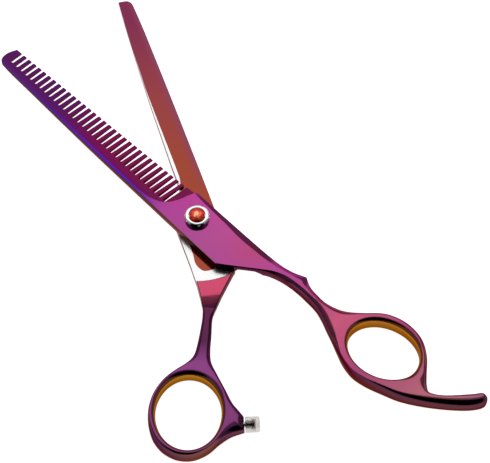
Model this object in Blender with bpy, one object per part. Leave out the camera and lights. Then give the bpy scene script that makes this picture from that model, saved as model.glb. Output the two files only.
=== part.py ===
"""Thinning shears: a toothed blade and a plain blade, each forged in one piece with its finger ring,
turning on one pivot bolt that a notched nut with a set stone keeps in tension. +Z up, +Y towards the
blade tips, origin on the pivot axis in the plane of the bolt's flat back. Sizes below are millimetres."""

import math

import bmesh
import bpy
from mathutils import Matrix, Vector

MM = 0.001

# Driving sizes.
BLADE_LENGTH = 92.0        # pivot to the tips
HANDLE_LENGTH = 75.0       # pivot to the middle of the finger ring
HALF_THICKNESS = 3.0       # each half, from the parting plane to its outer face
RING_HEIGHT = 2.7          # upper side of the thumb ring, above the parting plane
REST_OPENING = 24.3        # degrees between the two blades at rest
FINGER_HOLE_LENGTH = 23.8
FINGER_HOLE_WIDTH = 18.6
THUMB_HOLE_LENGTH = 25.6
THUMB_HOLE_WIDTH = 20.4
TOOTH_COUNT = 34
SLOT_WIDTH = 1.1
SLOT_LEAN = 1.0            # degrees that each slot's mouth leans back towards the pivot
TIP_THICKNESS = 1.2        # both blades thin down to this
SHOULDER_RADIUS = 22.3     # step on the plain half that the toothed half's heel passes
SHOULDER_HEIGHT = 1.1
BOLT_RADIUS = 2.2
BOLT_HEAD_RADIUS = 4.0
BOLT_HEAD_HEIGHT = 0.9
WASHER_RADIUS = 3.6
WASHER_HEIGHT = 0.6
SPRING_RADIUS = 3.2
SPRING_THICKNESS = 0.35
SPRING_DISH = 0.35
SPRING_SEAT_DEPTH = 1.2
NUT_RADIUS = 4.0
NUT_HEIGHT = 1.5
NUT_NOTCHES = 5
JEWEL_RADIUS = 2.6
JEWEL_HEIGHT = 1.1
JEWEL_FACETS = 10
BUMPER_RADIUS = 2.5
BUMPER_LENGTH = 4.7
PIN_RADIUS = 0.9
PIN_HEAD_RADIUS = 1.3
PIN_DEPTH = 3.0            # how far the pin goes into the boss
PIN_REACH = 3.2            # how far it stands out
GAP = 0.3                  # between pieces that touch

# Sizes that follow.
PARTING = HALF_THICKNESS   # height of the parting plane
FACE_STEP = GAP / 2        # each half's flat inner face stands this far back from the parting plane
DRAWN_BLADE = 92.0         # the outlines below are drawn at these two lengths, then stretched
DRAWN_HANDLE = 75.0
BLOCK_END = 16.0           # the blades stretch beyond this distance from the pivot
NECK_START = -36.0         # the handles move with their rings beyond this one
CURVE_STEPS = 4            # points per span of an outline
ROUND_STEPS = 3            # levels in the rounding of an edge


def clear_scene():
    for obj in list(bpy.data.objects):
        bpy.data.objects.remove(obj, do_unlink=True)


def make_material(name, colour, metallic, roughness):
    material = bpy.data.materials.new(name)
    material.use_nodes = True
    shader = material.node_tree.nodes["Principled BSDF"]
    shader.inputs["Base Color"].default_value = (*colour, 1.0)
    shader.inputs["Metallic"].default_value = metallic
    shader.inputs["Roughness"].default_value = roughness
    return material


def add_object(name, mesh, material=None):
    obj = bpy.data.objects.new(name, mesh)
    bpy.context.scene.collection.objects.link(obj)
    if material:
        mesh.materials.append(material)
        mesh.shade_smooth()
        mesh.set_sharp_from_angle(angle=math.radians(30))
    return obj


def mesh_from(name, bm):
    bmesh.ops.recalc_face_normals(bm, faces=bm.faces)
    bmesh.ops.scale(bm, vec=(MM, MM, MM), verts=bm.verts)
    mesh = bpy.data.meshes.new(name)
    bm.to_mesh(mesh)
    bm.free()
    return mesh


def cut(obj, cutter):
    """Boolean difference that stays as a modifier; the cutter is a hidden helper."""
    cutter.hide_render = True
    cutter.display_type = "WIRE"
    cutter.parent = obj
    modifier = obj.modifiers.new(cutter.name, "BOOLEAN")
    modifier.operation = "DIFFERENCE"
    modifier.object = cutter


# ---- outlines -------------------------------------------------------------------------------------

def row(x, y, dx, dy, share=1.0, outer=HALF_THICKNESS, inner=HALF_THICKNESS,
        corner=False, mark=None):
    """One station of a half's outline: the widest point, the step from there to the edge of the flat
    land, the share of the height that this edge takes, and the heights of the outer and inner lands.
    An edge that takes most of the height is round, and a smaller one is a flat chamfer."""
    roundness = min(1.0, max(0.0, 2.0 * share - 0.9))
    x, y = placed(x, y)
    values = (x, y, dx, dy, min(share, 0.95), outer, inner, roundness)
    return {"values": values, "corner": corner, "mark": mark}


def placed(x, y):
    """Stretches a drawn point to the blade length and moves it with the handle length."""
    if y > BLOCK_END:
        y = BLOCK_END + (y - BLOCK_END) * (BLADE_LENGTH - BLOCK_END) / (DRAWN_BLADE - BLOCK_END)
    elif y < NECK_START:
        y += DRAWN_HANDLE - HANDLE_LENGTH
    return x, y


def spline_point(before, start, end, after, t):
    """Cubic through start and end whose slopes follow the neighbouring stations."""
    span = math.dist(start[:2], end[:2])
    reach_start = span / max(math.dist(before[:2], start[:2]) + span, 1e-6)
    reach_end = span / max(math.dist(end[:2], after[:2]) + span, 1e-6)
    values = []
    for a, b, c, d in zip(before, start, end, after):
        slope_b = (c - a) * reach_start
        slope_c = (d - b) * reach_end
        values.append(
            (2 * t**3 - 3 * t**2 + 1) * b + (t**3 - 2 * t**2 + t) * slope_b
            + (3 * t**2 - 2 * t**3) * c + (t**3 - t**2) * slope_c
        )
    return values


def sample(rows, steps):
    """The closed outline as smooth spans between corners; also where each marked station landed."""
    count = len(rows)
    points = []
    landed = {}
    for i, station in enumerate(rows):
        start = station["values"]
        end = rows[(i + 1) % count]["values"]
        before = start if station["corner"] else rows[i - 1]["values"]
        after = end if rows[(i + 1) % count]["corner"] else rows[(i + 2) % count]["values"]
        if station["mark"]:
            landed[station["mark"]] = len(points)
        for k in range(steps):
            points.append(spline_point(before, start, end, after, k / steps))
    return points, landed


def ring_hole(centre, length, width, lean, widen, inner, steps=40):
    """A finger hole: an ellipse whose edge rounds over by widen(angle) on to the land."""
    tilt = Matrix.Rotation(math.radians(lean), 2)
    points = []
    for k in range(steps):
        angle = 2 * math.pi * k / steps
        local = Vector((width / 2 * math.cos(angle), length / 2 * math.sin(angle)))
        out = Vector((math.cos(angle) / width, math.sin(angle) / length)).normalized()
        place = tilt @ local + Vector(centre)
        step = tilt @ out * widen(angle)
        points.append((place.x, place.y, step.x, step.y, 0.85, HALF_THICKNESS, inner, 1.0))
    return points


def edge_levels(points, side, steps):
    """Loops from the side wall up to the flat land: side 0 is the outer side, side 1 the inner."""
    levels = []
    for k in range(steps + 1):
        t = k / steps
        arc = (1 - math.cos(t * math.pi / 2), math.sin(t * math.pi / 2))
        loop = []
        for x, y, dx, dy, share, outer, inner, roundness in points:
            inward = t + (arc[0] - t) * roundness
            rise = t + (arc[1] - t) * roundness
            floor, height = ((FACE_STEP, outer), (0.0, inner))[side]
            level = floor + (height - floor) * (1 - share + share * rise)
            loop.append((x + dx * inward, y + dy * inward, level))
        levels.append(loop)
    return levels


def add_loop(bm, loop, sign):
    return [bm.verts.new((x, y, sign * z)) for x, y, z in loop]


def bridge(bm, lower, upper):
    count = len(lower)
    for i in range(count):
        j = (i + 1) % count
        bm.faces.new((lower[i], lower[j], upper[j], upper[i]))


def fill(bm, *loops):
    """Flat cap over the first loop, with any later loops left open as holes."""
    if len(loops) == 1:
        bmesh.ops.triangulate(bm, faces=[bm.faces.new(loops[0])])
        return
    edges = []
    for loop in loops:
        for a, b in zip(loop, loop[1:] + loop[:1]):
            edges.append(bm.edges.get((a, b)) or bm.edges.new((a, b)))
    bmesh.ops.triangle_fill(bm, edges=edges, use_beauty=True)


def split_cap(bm, land, creases, hole):
    """Fills a land as separate facets between creases that run straight across it."""
    first, last = 0, len(land)
    for a, b in creases:
        fill(bm, land[first:a + 1] + land[b:last])
        first, last = a, b + 1
    fill(bm, land[first:last], hole)


def build_half(rows, hole, front, outward, creases):
    """Solid of one half. Its whole outline rises on the outer side; on the inner side only the handle
    does, behind a front line across the shank between the two front stations."""
    bm = bmesh.new()
    points, landed = sample(rows, CURVE_STEPS)
    start, end = landed["front left"], landed["front right"]
    base = add_loop(bm, [(p[0], p[1], FACE_STEP) for p in points], outward)
    hole_base = add_loop(bm, [(p[0], p[1], FACE_STEP) for p in hole], outward)

    # Outer side: the whole outline.
    lower, hole_lower = base, hole_base
    levels = edge_levels(points, 0, ROUND_STEPS)
    for loop, hole_loop in zip(levels, edge_levels(hole, 0, ROUND_STEPS)):
        upper = add_loop(bm, loop, outward)
        hole_upper = add_loop(bm, hole_loop, outward)
        bridge(bm, lower, upper)
        bridge(bm, hole_lower, hole_upper)
        lower, hole_lower = upper, hole_upper
    fill(bm, lower, hole_lower)

    # Inner side: the blade's flat face, then the handle behind the front line.
    front_base = add_loop(bm, [(p[0], p[1], FACE_STEP) for p in front], outward)
    fill(bm, base[end:] + base[:start + 1] + front_base)
    handle = points[start:end + 1] + front[::-1]
    lower = base[start:end + 1] + front_base[::-1]
    hole_lower = hole_base
    levels = edge_levels(handle, 1, ROUND_STEPS)
    for loop, hole_loop in zip(levels, edge_levels(hole, 1, ROUND_STEPS)):
        upper = add_loop(bm, loop, -outward)
        hole_upper = add_loop(bm, hole_loop, -outward)
        bridge(bm, lower, upper)
        bridge(bm, hole_lower, hole_upper)
        lower, hole_lower = upper, hole_upper
    spans = [(landed[name + " left"] - start, landed[name + " right"] - start) for name in creases]
    split_cap(bm, lower, spans, hole_lower)
    return bm


def even(count, first, last):
    return [first + (last - first) * k / (count - 1) for k in range(count)]


def arc_front(radius, start, end, steps, share, height):
    """Front of a raised shank: an arc about the pivot between two angles, as outline points."""
    front = []
    for angle in even(steps, start, end):
        c, s = math.cos(math.radians(angle)), math.sin(math.radians(angle))
        front.append((radius * c, radius * s, 0.2 * c, 0.2 * s, share, HALF_THICKNESS, height, 0.0))
    return front


# ---- the two halves -------------------------------------------------------------------------------

FINGER_RING = (10.3, -HANDLE_LENGTH)
THUMB_RING = (-24.1, -HANDLE_LENGTH + 9.5)
COMB_ROOT = -3.2           # where the slots end, beside the blade's middle line

def comb_rows():
    """Outline of the toothed half, from its tip down the spine, round the handle and back up."""
    edge = 0.08
    return [
        row(1.5, 91.0, -0.2, -0.2, edge, corner=True),
        row(-1.8, 92.0, 0.0, -0.2, edge),
        row(-4.7, 91.5, 0.1, -0.2, edge),
        row(-5.8, 89.8, 0.2, -0.1, edge),
        row(-6.3, 75.0, 0.25, 0.0, edge),
        row(-6.9, 45.0, 0.25, 0.0, edge),
        row(-7.1, 16.0, 0.1, 0.0, edge),
        row(-7.15, 0.0, 0.1, 0.0, edge),
        row(-7.1, -16.6, 0.15, 0.1, edge, corner=True),
        row(-5.0, -19.6, 0.25, 0.2, edge),
        row(-0.2, -25.6, 0.25, 0.2, edge),
        row(2.0, -28.4, 0.3, 0.2, 0.1, inner=0.3, mark="front left"),
        row(3.9, -31.4, 0.5, 0.2, 0.25, inner=1.0),
        row(5.2, -35.0, 0.7, 0.1, 0.4, inner=2.1),
        row(5.8, -40.0, 0.6, 0.0, 0.6, inner=2.8),
        row(5.8, -45.0, 0.6, 0.0, 0.7),
        row(5.4, -49.5, 0.9, 0.0, 0.8),
        row(4.2, -53.5, 1.5, 0.1, 0.85),
        row(2.8, -57.0, 2.1, 0.4, 0.85),
        row(1.3, -61.0, 2.0, 0.6, 0.85),
        row(0.1, -64.0, 1.1, 0.4, 0.85),
        row(-1.2, -67.8, 0.4, 0.1, 0.8),
        row(-2.1, -72.0, 0.3, 0.0, 0.8),
        row(-2.2, -75.0, 0.4, 0.0, 0.85),
        row(-1.4, -79.5, 0.6, 0.1, 0.9),
        row(0.2, -84.6, 1.0, 0.4, 0.95),
        row(2.1, -89.6, 1.2, 0.6, 0.95),
        row(5.0, -94.6, 1.4, 1.0, 1.0),
        row(8.7, -99.6, 1.5, 1.3, 1.0),
        row(13.2, -104.7, 1.6, 1.6, 1.0),
        row(16.8, -107.9, 1.4, 1.8, 1.0),
        row(20.3, -109.6, 0.3, 1.9, 1.0),
        row(22.5, -108.6, -1.4, 1.2, 1.0),
        row(22.6, -106.6, -1.8, -0.5, 1.0),
        row(20.2, -104.7, -1.2, -1.4, 1.0),
        row(14.2, -99.9, -1.1, -1.2, 1.0),
        row(11.7, -97.2, -1.3, -0.9, 1.0),
        row(10.7, -95.0, -2.0, 0.6, 0.9),
        row(12.0, -92.6, -2.6, 1.5, 0.9),
        row(14.2, -90.3, -0.8, 1.1, 0.9),
        row(19.2, -85.4, -1.0, 1.0, 0.9),
        row(22.2, -80.4, -1.4, 0.7, 0.9),
        row(23.0, -75.2, -1.5, 0.0, 0.9),
        row(22.3, -70.3, -1.4, -0.5, 0.9),
        row(19.9, -65.4, -1.1, -0.9, 0.9),
        row(14.9, -60.3, -1.2, -1.1, 0.85),
        row(11.3, -55.6, -2.6, -1.4, 0.8),
        row(9.4, -50.4, -2.0, -0.5, 0.7),
        row(9.1, -45.5, -1.6, -0.2, 0.5),
        row(9.6, -42.5, -1.8, -0.5, 0.5),
        row(11.1, -39.3, -2.7, 0.0, 0.5, inner=2.8, corner=True),
        row(9.2, -35.0, -1.9, 0.3, 0.48, inner=2.1),
        row(8.2, -30.8, -1.9, 0.0, 0.46, inner=0.3, mark="front right"),
        row(7.7, -25.0, -2.3, 0.0, 0.46),
        row(7.4, -15.0, -2.7, 0.0, 0.45),
        row(7.1, -5.0, -1.8, 0.0, 0.36),
        row(6.9, 5.0, -1.3, 0.0, 0.3),
        row(6.8, 9.6, -0.7, 0.0, 0.2),
        row(6.3, 13.4, -0.2, 0.0, edge, corner=True),
        row(4.0, 50.0, -0.2, 0.0, edge, corner=True),
    ]


def plain_rows():
    """Outline of the plain half, from its tip down the cutting edge, round the handle and back up."""
    edge, step, neck = 0.08, SHOULDER_HEIGHT, 1.7
    ring = RING_HEIGHT
    return [
        row(5.2, 91.8, -0.1, -0.2, edge),
        row(1.9, 92.4, 0.1, -0.2, edge, corner=True),
        row(1.0, 78.0, 0.25, 0.0, edge),
        row(-0.2, 53.0, 0.25, 0.0, edge),
        row(-1.0, 25.0, 0.25, 0.0, edge),
        row(-1.6, 13.5, 0.25, 0.0, edge),
        row(-4.5, 9.0, 0.2, -0.2, edge),
        row(-6.7, 5.5, 0.25, 0.0, edge),
        row(-6.9, 0.0, 0.25, 0.0, edge),
        row(-6.9, -14.0, 0.25, 0.0, edge, inner=step),
        row(-7.1, -21.15, 0.25, 0.0, edge, inner=step, corner=True, mark="front left"),
        row(-7.7, -27.0, 0.3, 0.1, 0.15, outer=2.4, inner=step, corner=True, mark="facet left"),
        row(-8.3, -31.3, 0.4, 0.2, 0.4, outer=2.1, inner=0.6, corner=True, mark="slope left"),
        row(-9.6, -34.6, 1.1, -0.4, 1.0, outer=2.2, inner=1.4),
        row(-11.5, -38.4, 1.2, -0.6, 1.0, outer=2.0, inner=neck),
        row(-14.1, -43.2, 1.8, -0.9, 1.0, outer=2.3, inner=2.2),
        row(-16.2, -46.3, 0.9, -2.7, 0.95, outer=2.7, inner=ring),
        row(-19.2, -48.4, -0.6, -1.4, 0.9, inner=ring),
        row(-24.2, -50.0, 0.4, -1.0, 0.9, inner=ring),
        row(-28.4, -52.0, 0.5, -0.9, 0.9, inner=ring),
        row(-32.2, -55.2, 0.7, -0.7, 0.9, inner=ring),
        row(-35.0, -59.2, 0.9, -0.4, 0.9, inner=ring),
        row(-36.7, -63.8, 1.0, -0.2, 0.9, inner=ring),
        row(-37.3, -68.4, 1.0, 0.0, 0.9, inner=ring),
        row(-36.9, -71.8, 1.0, 0.2, 0.9, inner=ring),
        row(-35.4, -75.3, 0.9, 0.6, 0.9, inner=ring),
        row(-32.6, -78.4, 0.6, 0.9, 0.9, inner=ring),
        row(-29.2, -80.1, 0.3, 1.0, 0.9, inner=ring),
        row(-25.8, -80.5, 0.0, 1.0, 0.9, inner=ring),
        row(-21.8, -79.7, -0.2, 1.0, 0.9, inner=ring),
        row(-17.8, -77.9, -0.4, 1.2, 0.9, inner=ring),
        row(-13.8, -76.8, -1.0, 2.2, 0.9, inner=ring),
        row(-9.6, -76.7, -2.3, 3.5, 0.9, inner=ring, corner=True),
        row(-8.2, -71.7, -3.4, -0.7, 0.9, inner=ring, corner=True),
        row(-8.9, -69.6, -2.9, -0.6, 0.9, inner=ring),
        row(-10.0, -66.4, -2.0, 0.0, 0.9, inner=ring),
        row(-10.6, -61.4, -1.3, 0.0, 0.9, inner=ring),
        row(-11.3, -55.5, -1.4, 0.0, 0.9, inner=ring),
        row(-11.7, -50.3, -2.6, -1.0, 0.95, inner=ring),
        row(-10.7, -46.3, -3.3, -2.2, 1.0, outer=2.7, inner=2.4),
        row(-8.9, -41.8, -1.7, 0.7, 1.0, outer=2.2, inner=neck),
        row(-6.5, -35.6, -1.4, 0.6, 1.0, outer=2.2, inner=1.4),
        row(-4.9, -33.0, -0.4, 0.3, 0.4, outer=2.1, inner=0.6, corner=True, mark="slope right"),
        row(-0.8, -28.0, -0.4, 0.2, 0.2, outer=2.0, inner=step, corner=True, mark="facet right"),
        row(4.95, -21.75, -0.4, 0.2, 0.2, outer=2.0, inner=step, corner=True, mark="front right"),
        row(6.3, -19.9, -0.25, 0.1, edge, inner=step),
        row(7.0, -16.0, -0.25, 0.0, edge, inner=step),
        row(7.05, 0.0, -0.25, 0.0, edge),
        row(7.1, 20.0, -0.25, 0.0, edge),
        row(6.9, 60.0, -0.25, 0.0, edge),
        row(6.3, 89.6, -0.2, 0.0, edge),
    ]


def box(name, corner_low, corner_high):
    """Plain box between two corners, for a cutter."""
    bm = bmesh.new()
    bmesh.ops.create_cube(bm, size=1.0)
    size = [b - a for a, b in zip(corner_low, corner_high)]
    middle = [(a + b) / 2 for a, b in zip(corner_low, corner_high)]
    bmesh.ops.scale(bm, vec=size, verts=bm.verts)
    bmesh.ops.translate(bm, vec=middle, verts=bm.verts)
    return add_object(name, mesh_from(name, bm))


def prism(name, lower, upper):
    """Solid between two outlines of as many points, each given as (x, y, z)."""
    bm = bmesh.new()
    bottom = [bm.verts.new(p) for p in lower]
    top = [bm.verts.new(p) for p in upper]
    bridge(bm, bottom, top)
    fill(bm, bottom)
    fill(bm, top)
    return add_object(name, mesh_from(name, bm))


def cylinder(name, radius, low, high, segments=40):
    bm = bmesh.new()
    bmesh.ops.create_cone(
        bm, cap_ends=True, segments=segments, radius1=radius, radius2=radius, depth=high - low)
    bmesh.ops.translate(bm, vec=(0.0, 0.0, (low + high) / 2), verts=bm.verts)
    return add_object(name, mesh_from(name, bm))


def turned(name, profile, material=None, segments=40):
    """Ring or solid turned about +Z from a closed profile of (radius, height) points."""
    bm = bmesh.new()
    angles = [2 * math.pi * k / segments for k in range(segments)]
    loops = []
    for radius, height in profile:
        if radius == 0.0:
            loops.append([bm.verts.new((0.0, 0.0, height))])
        else:
            circle = [(radius * math.cos(a), radius * math.sin(a), height) for a in angles]
            loops.append([bm.verts.new(point) for point in circle])
    for first, second in zip(loops, loops[1:] + loops[:1]):
        if len(first) == 1 and len(second) == 1:
            continue
        for k in range(segments):
            j = (k + 1) % segments
            corners = [first[k % len(first)], first[j % len(first)]]
            corners += [second[j % len(second)], second[k % len(second)]]
            bm.faces.new(list(dict.fromkeys(corners)))
    return add_object(name, mesh_from(name, bm), material)


def taper_cutter(name, side):
    """Wedge that thins a blade from its outer face down to the tip; side is +1 above, -1 below."""
    outer_tip = PARTING + side * TIP_THICKNESS
    outer_block = PARTING + side * HALF_THICKNESS
    far = PARTING + side * 3 * HALF_THICKNESS
    start, stop = BLOCK_END + 2.0, BLADE_LENGTH + 1.0
    lower = [(-20.0, start, outer_block), (-20.0, stop, outer_tip), (-20.0, stop, far), (-20.0, start, far)]
    return prism(name, lower, [(20.0, y, z) for _, y, z in lower])


def grind_cutter():
    """Scoop that hollows the toothed blade from its block to its tip, beside a narrow spine."""
    _, tip = placed(0.0, DRAWN_BLADE)
    scoop = [
        (-6.4, 20.5), (-6.1, 17.3), (-5.3, 14.4), (-3.9, 11.9),
        (-2.0, 10.3), (0.5, 9.2), (3.2, 8.4), (9.0, 6.6),
    ]
    spine_end = (-5.1, tip + 2.0)
    lower, upper = [], []
    for k, (x, y) in enumerate(scoop):
        reach = min(1.0, k / 3)
        height = PARTING + HALF_THICKNESS - 0.35 - 0.17 * (x + 6.4)
        lower.append((x + 0.25 * reach, y + 1.1 * reach, height))
        upper.append((x - 0.1 * reach, y - 0.5 * reach, PARTING + HALF_THICKNESS + 1.0))
    near_tip = PARTING + TIP_THICKNESS
    for x, y, z in ((9.0, tip + 2.0, near_tip - 0.55), (spine_end[0], spine_end[1], near_tip - 0.1)):
        lower.append((x, y, z))
        upper.append((x, y, PARTING + HALF_THICKNESS + 1.0))
    return prism("grind", lower, upper)


def slot_cutters():
    """One cutter for each gap between two teeth, as a single mesh."""
    first, last = 12.7, BLADE_LENGTH - 3.8
    lean = Matrix.Rotation(-math.radians(SLOT_LEAN), 4, "Z")
    bm = bmesh.new()
    for y in even(TOOTH_COUNT - 1, first, last):
        cube = bmesh.ops.create_cube(bm, size=1.0)["verts"]
        bmesh.ops.scale(bm, vec=(14.0, SLOT_WIDTH, 8.0), verts=cube)
        bmesh.ops.translate(bm, vec=(7.0, 0.0, PARTING + 2.0), verts=cube)
        bmesh.ops.transform(bm, matrix=Matrix.Translation((COMB_ROOT, y, 0.0)) @ lean, verts=cube)
    return add_object("slots", mesh_from("slots", bm))


def pivot_bore(name, levels):
    """Stepped round hole through a half, from (radius, bottom, top) steps that touch end to end."""
    profile = [(0.0, levels[0][1])]
    for radius, low, high in levels:
        profile += [(radius, low), (radius, high)]
    profile.append((0.0, levels[-1][2]))
    return turned(name, profile)


def heel_relief():
    """Hollow under the toothed half's shank that passes over the plain half's raised shoulder. Its far
    side is a ramp that runs down to the handle."""
    near = SHOULDER_RADIUS - GAP - 0.1
    far_low, far_high = near + 8.2, near + 4.6
    low, high = PARTING - 1.0, PARTING + SHOULDER_HEIGHT + GAP
    lower, upper = [], []
    for first, last, low_radius, high_radius in ((-130, -50, near, near), (-50, -130, far_low, far_high)):
        for angle in even(8, first, last):
            c, s = math.cos(math.radians(angle)), math.sin(math.radians(angle))
            lower.append((low_radius * c, low_radius * s, low))
            upper.append((high_radius * c, high_radius * s, high))
    return prism("heel relief", lower, upper)


def build_comb(material):
    front = arc_front(29.6, -83.0, -77.5, 4, 0.2, 0.3)
    size = FINGER_HOLE_LENGTH, FINGER_HOLE_WIDTH
    hole = ring_hole(FINGER_RING, *size, 12.0, lambda a: 1.3, HALF_THICKNESS)
    bm = build_half(comb_rows(), hole, front, 1.0, [])
    bmesh.ops.translate(bm, vec=(0.0, 0.0, PARTING), verts=bm.verts)
    comb = add_object("comb_blade", mesh_from("comb_blade", bm), material)
    cut(comb, taper_cutter("comb taper", 1))
    cut(comb, grind_cutter())
    cut(comb, slot_cutters())
    cut(comb, heel_relief())
    washer_top = PARTING + FACE_STEP + WASHER_HEIGHT + GAP
    seat = PARTING + HALF_THICKNESS - SPRING_SEAT_DEPTH
    cut(comb, pivot_bore("comb bore", [
        (WASHER_RADIUS + GAP, PARTING - 1.0, washer_top),
        (BOLT_RADIUS + GAP, washer_top, seat),
        (SPRING_RADIUS + GAP, seat, PARTING + HALF_THICKNESS + 1.0),
    ]))
    return comb


def build_plain(material):
    front = arc_front(SHOULDER_RADIUS, -106.5, -79.0, 8, 0.1, SHOULDER_HEIGHT)
    hole = ring_hole(THUMB_RING, THUMB_HOLE_LENGTH, THUMB_HOLE_WIDTH, -20.0, lambda a: 1.5, RING_HEIGHT)
    bm = build_half(plain_rows(), hole, front, -1.0, ["facet", "slope"])
    bmesh.ops.translate(bm, vec=(0.0, 0.0, PARTING), verts=bm.verts)
    plain = add_object("plain_blade", mesh_from("plain_blade", bm), material)
    cut(plain, taper_cutter("plain taper", -1))
    cut(plain, pivot_bore("plain bore", [
        (BOLT_HEAD_RADIUS + GAP, -1.0, BOLT_HEAD_HEIGHT + GAP),
        (BOLT_RADIUS + GAP, BOLT_HEAD_HEIGHT + GAP, PARTING + 2.0),
    ]))
    bore = cylinder("pin bore", PIN_RADIUS + GAP, -PIN_DEPTH - GAP, 1.0, segments=20)
    bore.matrix_world = bumper_axis()
    cut(plain, bore)
    return plain


# ---- pivot and bumper -----------------------------------------------------------------------------

NUT_BASE = PARTING + HALF_THICKNESS + GAP
BOLT_TOP = NUT_BASE + 0.4
NUT_WEB_TOP = BOLT_TOP + GAP + 0.2


def build_bolt(material):
    profile = [
        (0.0, 0.0), (BOLT_HEAD_RADIUS - 0.2, 0.0), (BOLT_HEAD_RADIUS, 0.2),
        (BOLT_HEAD_RADIUS, BOLT_HEAD_HEIGHT), (BOLT_RADIUS, BOLT_HEAD_HEIGHT),
        (BOLT_RADIUS, BOLT_TOP), (0.0, BOLT_TOP),
    ]
    return turned("pivot_bolt", profile, material)


def build_glide_washer(material):
    low = PARTING + FACE_STEP
    high = low + WASHER_HEIGHT
    bore = BOLT_RADIUS + GAP
    profile = [(bore, low), (WASHER_RADIUS, low), (WASHER_RADIUS, high), (bore, high)]
    return turned("glide_washer", profile, material)


def build_spring_washer(material):
    low = PARTING + HALF_THICKNESS - SPRING_SEAT_DEPTH + GAP
    bore = BOLT_RADIUS + GAP
    profile = [
        (SPRING_RADIUS, low), (SPRING_RADIUS, low + SPRING_THICKNESS),
        (bore, low + SPRING_THICKNESS + SPRING_DISH), (bore, low + SPRING_DISH),
    ]
    return turned("spring_washer", profile, material)


def build_nut(material):
    top = NUT_BASE + NUT_HEIGHT
    bore, seat = BOLT_RADIUS + GAP, JEWEL_RADIUS + GAP
    profile = [
        (bore, NUT_BASE), (NUT_RADIUS - 0.2, NUT_BASE), (NUT_RADIUS, NUT_BASE + 0.2),
        (NUT_RADIUS, top - 0.4), (NUT_RADIUS - 0.4, top), (seat, top),
        (seat, NUT_WEB_TOP), (0.0, NUT_WEB_TOP), (0.0, BOLT_TOP + GAP), (bore, BOLT_TOP + GAP),
    ]
    nut = turned("adjuster_nut", profile, material)
    notch_depth, notch_width = 0.7, 0.9
    for k in range(NUT_NOTCHES):
        low = (NUT_RADIUS - 0.6, -notch_width / 2, top - notch_depth)
        notch = box("notch %d" % k, low, (NUT_RADIUS + 1.0, notch_width / 2, top + 1.0))
        notch.rotation_euler.z = 2 * math.pi * (k + 0.3) / NUT_NOTCHES
        cut(nut, notch)
    return nut


def build_jewel(material):
    low = NUT_WEB_TOP + GAP
    girdle = low + 0.45 * JEWEL_HEIGHT
    profile = [
        (0.0, low), (0.7 * JEWEL_RADIUS, low), (JEWEL_RADIUS, girdle - 0.1), (JEWEL_RADIUS, girdle),
        (0.58 * JEWEL_RADIUS, low + JEWEL_HEIGHT), (0.0, low + JEWEL_HEIGHT),
    ]
    jewel = turned("jewel", profile, material, segments=JEWEL_FACETS)
    jewel.data.shade_flat()
    return jewel


def bumper_axis():
    """Place of the bumper's base on the thumb ring's boss, its +Z pointing out along the pin, in metres."""
    x, y = placed(-8.9, -74.2)
    place = Matrix.Translation(Vector((x, y, PARTING)) * MM)
    heading = Matrix.Rotation(math.radians(-16.0), 4, "Z")
    return place @ heading @ Matrix.Rotation(math.radians(90.0), 4, "Y")


def build_pin(material):
    head = PIN_REACH - 0.8
    profile = [
        (0.0, -PIN_DEPTH), (PIN_RADIUS, -PIN_DEPTH), (PIN_RADIUS, head), (PIN_HEAD_RADIUS, head),
        (PIN_HEAD_RADIUS, PIN_REACH), (0.0, PIN_REACH),
    ]
    return turned("bumper_pin", profile, material, segments=24)


def build_bumper(material):
    low, high = GAP, GAP + BUMPER_LENGTH
    pocket, neck = PIN_HEAD_RADIUS + GAP, PIN_RADIUS + GAP
    step = PIN_REACH - 0.8 - GAP
    profile = [
        (neck, low), (BUMPER_RADIUS - 0.2, low), (BUMPER_RADIUS, low + 0.2), (BUMPER_RADIUS, high - 0.8),
        (0.88 * BUMPER_RADIUS, high - 0.3), (0.6 * BUMPER_RADIUS, high - 0.05), (0.0, high),
        (0.0, PIN_REACH + GAP), (pocket, PIN_REACH + GAP), (pocket, step), (neck, step),
    ]
    return turned("bumper", profile, material, segments=32)


def add_carrier(name, turn, pieces):
    """Empty on the pivot axis that carries the pieces turning together, at the rest opening."""
    carrier = bpy.data.objects.new(name, None)
    bpy.context.scene.collection.objects.link(carrier)
    carrier.rotation_euler.z = math.radians(turn)
    for piece in pieces:
        piece.parent = carrier


def build():
    clear_scene()
    coated = make_material("coated steel magenta", (0.42, 0.03, 0.24), 1.0, 0.15)
    copper = make_material("coated steel copper", (0.40, 0.07, 0.07), 1.0, 0.15)
    steel = make_material("bare steel", (0.55, 0.55, 0.56), 1.0, 0.3)
    chrome = make_material("chromed steel", (0.80, 0.80, 0.82), 1.0, 0.08)
    nylon = make_material("white nylon", (0.80, 0.80, 0.78), 0.0, 0.5)
    stone = make_material("red glass stone", (0.80, 0.05, 0.02), 0.0, 0.05)
    silicone = make_material("clear silicone", (0.85, 0.84, 0.82), 0.0, 0.2)

    pin = build_pin(steel)
    bumper = build_bumper(silicone)
    pin.matrix_world = bumper_axis()
    bumper.matrix_world = bumper_axis()
    add_carrier("thumb half", -REST_OPENING / 2, [build_plain(copper), build_bolt(steel), pin, bumper])
    add_carrier("finger half", REST_OPENING / 2, [build_comb(coated), build_glide_washer(nylon)])
    adjuster = [build_nut(chrome), build_jewel(stone), build_spring_washer(steel)]
    add_carrier("adjuster", REST_OPENING / 2, adjuster)


build()
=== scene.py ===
"""Thinning shears, laid open: a toothed half and a plain half forged with their finger rings, a
jewelled tension nut on the pivot bolt, and a clear bumper. Metres, +Z up, +Y towards the tips."""

import math

import bmesh
import bpy
from mathutils import Matrix, Vector


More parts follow.
